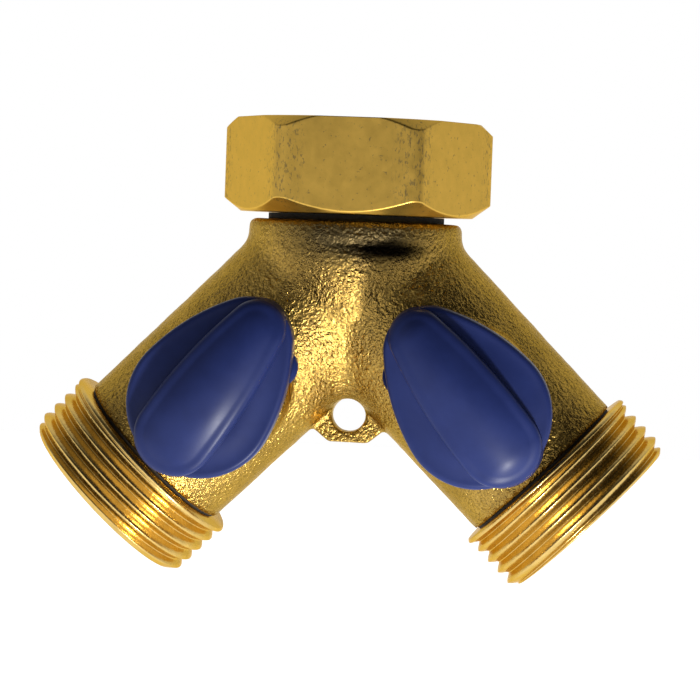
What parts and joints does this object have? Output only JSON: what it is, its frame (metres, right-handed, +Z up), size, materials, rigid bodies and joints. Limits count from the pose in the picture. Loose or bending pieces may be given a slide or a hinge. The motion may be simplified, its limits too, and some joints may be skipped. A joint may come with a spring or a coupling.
{
  "type": "hose splitter",
  "caption": "Y-shaped brass hose splitter with a swivelling inlet nut and two arms, each shut by a ball valve with a blue knob.",
  "frame": {"origin": "on the inlet's axis, in the plane of the inlet washer's sealing face", "axes": "+Z up out of the inlet nut along its axis; -Y towards the knobs; +X towards the right-hand arm as seen from the knobs' side"},
  "size_m": [0.079, 0.0375, 0.0577],
  "materials": {
    "cast_brass": "sand-cast, coarse grain",
    "nut_brass": "machined, lightly scratched",
    "outlet_brass": "machined thread",
    "stem_brass": "machined",
    "black_ring": "matt",
    "washer_rubber": "matt",
    "seal_rubber": "matt",
    "seal_fibre": "pressed fibre, matt",
    "seat_white": "waxy white fluoroplastic",
    "spring_steel": "plain",
    "ball_chrome": "polished",
    "knob_plastic": "moulded, fine grain"
  },
  "bodies": {
    "body": {"splitter_body": "cast_brass", "neck_ring": "black_ring", "snap_ring": "spring_steel", "inlet_washer": "washer_rubber", "left_outlet": "outlet_brass", "left_joint_seal": "seal_fibre", "left_inner_seat": "seat_white", "left_outer_seat": "seat_white", "right_outlet": "outlet_brass", "right_joint_seal": "seal_fibre", "right_inner_seat": "seat_white", "right_outer_seat": "seat_white"},
    "nut": {"swivel_nut": "nut_brass"},
    "left_valve": {"left_knob": "knob_plastic", "left_stem": "stem_brass", "left_ball": "ball_chrome", "left_thrust_washer": "seat_white", "left_inner_stem_seal": "seal_rubber", "left_outer_stem_seal": "seal_rubber"},
    "right_valve": {"right_knob": "knob_plastic", "right_stem": "stem_brass", "right_ball": "ball_chrome", "right_thrust_washer": "seat_white", "right_inner_stem_seal": "seal_rubber", "right_outer_stem_seal": "seal_rubber"}
  },
  "joints": [
    {"name": "nut_swivel", "type": "hinge", "parent": "body", "child": "nut", "pos_m": [0, 0, 0], "axis": [0, 0, 1], "continuous": true},
    {"name": "left_valve_turn", "type": "hinge", "parent": "body", "child": "left_valve", "pos_m": [-0.0152, 0, -0.0279], "axis": [0, -1, 0], "range_deg": [-9.5, 80.5]},
    {"name": "right_valve_turn", "type": "hinge", "parent": "body", "child": "right_valve", "pos_m": [0.0152, 0, -0.0279], "axis": [0, 1, 0], "range_deg": [-5.5, 84.5]}
  ]
}
